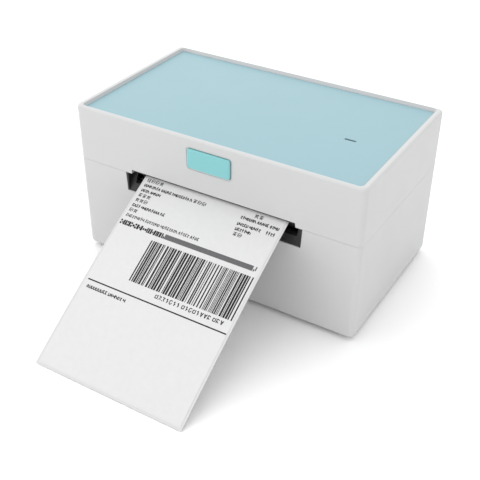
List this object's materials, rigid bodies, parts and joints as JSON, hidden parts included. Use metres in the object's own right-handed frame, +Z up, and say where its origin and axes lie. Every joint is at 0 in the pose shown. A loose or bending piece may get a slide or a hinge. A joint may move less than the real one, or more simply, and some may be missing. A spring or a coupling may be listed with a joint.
{
  "type": "thermal label printer",
  "caption": "Desktop thermal label printer with a hinged cover, release button, powder-teal top panel, rear stock inlet and a printed label curling out of the front slot.",
  "frame": {"origin": "on the desk, at the middle of the whole object's footprint, printed label included", "axes": "+X right and +Y rearwards as the front slot is faced, +Z up"},
  "size_m": [0.202, 0.2327, 0.1075],
  "materials": {
    "white_plastic": "satin moulded plastic",
    "teal_panel_plastic": "smooth powder-teal moulded plastic",
    "teal_button_plastic": "smooth brighter teal moulded plastic",
    "black_plastic": "fine-grained black moulding",
    "dark_lens": "smoked light pipe",
    "platen_rubber": "ground rubber",
    "foot_rubber": "moulded rubber",
    "steel_bar": "ground bar",
    "plated_sheet": "zinc-plated sheet",
    "screw_steel": "zinc-plated screw",
    "spring_steel": "spring wire and strip",
    "head_aluminium": "extruded, matt",
    "head_ceramic": "alumina with a dark glaze band",
    "gear_plastic": "natural acetal",
    "motor_case": "black enamel",
    "bronze_bushing": "sintered bronze",
    "board_laminate": "solder mask",
    "chip_resin": "moulded resin",
    "port_metal": "tinned shell",
    "liner_paper": "glassine release liner",
    "label_paper": "thermal paper"
  },
  "bodies": {
    "base": {"base_housing": "white_plastic", "bottom_cover": "white_plastic", "bottom_screws": "screw_steel", "rubber_feet": "foot_rubber", "exit_bezel": "black_plastic", "chassis_frame": "plated_sheet", "chassis_screws": "screw_steel", "platen_bushings": "bronze_bushing", "idler_stud": "steel_bar", "stepper_motor": "motor_case", "motor_screws": "screw_steel", "gear_cover": "black_plastic", "side_cover_left": "black_plastic", "side_cover_right": "black_plastic", "side_cover_screws": "screw_steel", "latch_catches": "spring_steel", "media_deck": "black_plastic", "gap_sensor": "dark_lens", "cover_sensor": "dark_lens", "label_liner": "liner_paper", "printed_label": "label_paper", "next_label": "label_paper", "main_board": "board_laminate", "board_screws": "screw_steel", "board_components": "chip_resin", "usb_port": "port_metal", "dc_jack": "black_plastic", "power_switch_body": "black_plastic", "hinge_pins": "steel_bar"},
    "platen": {"platen_shaft": "steel_bar", "platen_rubber": "platen_rubber", "platen_gear": "gear_plastic"},
    "idler": {"idler_gear": "gear_plastic"},
    "motor_rotor": {"motor_shaft": "steel_bar", "motor_pinion": "bronze_bushing"},
    "left_guide": {"media_guide_left": "black_plastic"},
    "right_guide": {"media_guide_right": "black_plastic"},
    "guide_gear": {"guide_pinion": "gear_plastic"},
    "rocker": {"power_rocker": "black_plastic"},
    "cover": {"cover_shell": "white_plastic", "top_panel": "teal_panel_plastic", "indicator_lens": "dark_lens", "indicator_board": "board_laminate", "cover_frame": "black_plastic", "latch_brackets": "plated_sheet", "head_brackets": "plated_sheet", "cover_frame_screws": "screw_steel", "exit_trim": "black_plastic", "tear_bar": "plated_sheet", "head_pivot_shaft": "steel_bar", "head_springs": "spring_steel", "button_springs": "spring_steel"},
    "head": {"print_head": "head_ceramic", "head_driver_board": "board_laminate", "head_connector": "chip_resin", "head_heatsink": "head_aluminium"},
    "button": {"release_button": "teal_button_plastic"},
    "latch": {"latch_bar": "steel_bar", "latch_hooks": "black_plastic"}
  },
  "joints": [
    {"name": "cover_hinge", "type": "hinge", "parent": "base", "child": "cover", "pos_m": [0, 0.11335, 0.0694], "axis": [-1, 0, 0], "range_deg": [0, 75], "deforming": ["latch_catches"]},
    {"name": "platen_spin", "type": "hinge", "parent": "base", "child": "platen", "pos_m": [0, 0.01135, 0.068], "axis": [1, 0, 0], "continuous": true},
    {"name": "idler_spin", "type": "hinge", "parent": "base", "child": "idler", "pos_m": [-0.071, 0.01568, 0.05353], "axis": [1, 0, 0], "continuous": true},
    {"name": "motor_spin", "type": "hinge", "parent": "base", "child": "motor_rotor", "pos_m": [-0.07, 0.03435, 0.0525], "axis": [1, 0, 0], "continuous": true},
    {"name": "left_guide_slide", "type": "slide", "parent": "base", "child": "left_guide", "axis": [-1, 0, 0], "range_m": [0, 0.005]},
    {"name": "right_guide_slide", "type": "slide", "parent": "base", "child": "right_guide", "axis": [1, 0, 0], "range_m": [0, 0.005]},
    {"name": "guide_gear_spin", "type": "hinge", "parent": "base", "child": "guide_gear", "pos_m": [0, 0.07293, 0.06019], "axis": [0, -0.1736, -0.9848], "range_deg": [0, 39.9]},
    {"name": "power_rocker_tilt", "type": "hinge", "parent": "base", "child": "rocker", "pos_m": [-0.076, 0.10985, 0.022], "axis": [0, 0, -1], "range_deg": [0, 14]},
    {"name": "head_tilt", "type": "hinge", "parent": "cover", "child": "head", "pos_m": [0, 0.03635, 0.084], "axis": [-1, 0, 0], "range_deg": [0, 3], "stiffness_Nm_per_rad": 2, "springref_deg": -11.46, "deforming": ["head_springs"]},
    {"name": "button_press", "type": "slide", "parent": "cover", "child": "button", "axis": [0, 1, 0], "range_m": [0, 0.0018], "stiffness_N_per_m": 500, "springref_m": -0.002, "deforming": ["button_springs"]},
    {"name": "latch_swing", "type": "hinge", "parent": "cover", "child": "latch", "pos_m": [0, 0.00635, 0.084], "axis": [-1, 0, 0], "range_deg": [0, 10.4]}
  ],
  "couplings": [
    {"joint": "idler_spin", "follows": "platen_spin", "ratio": -1.5},
    {"joint": "motor_spin", "follows": "platen_spin", "ratio": 3.6667},
    {"joint": "right_guide_slide", "follows": "left_guide_slide", "ratio": 1},
    {"joint": "guide_gear_spin", "follows": "left_guide_slide", "rad_per_m": 138.89},
    {"joint": "latch_swing", "follows": "button_press", "rad_per_m": 100}
  ]
}
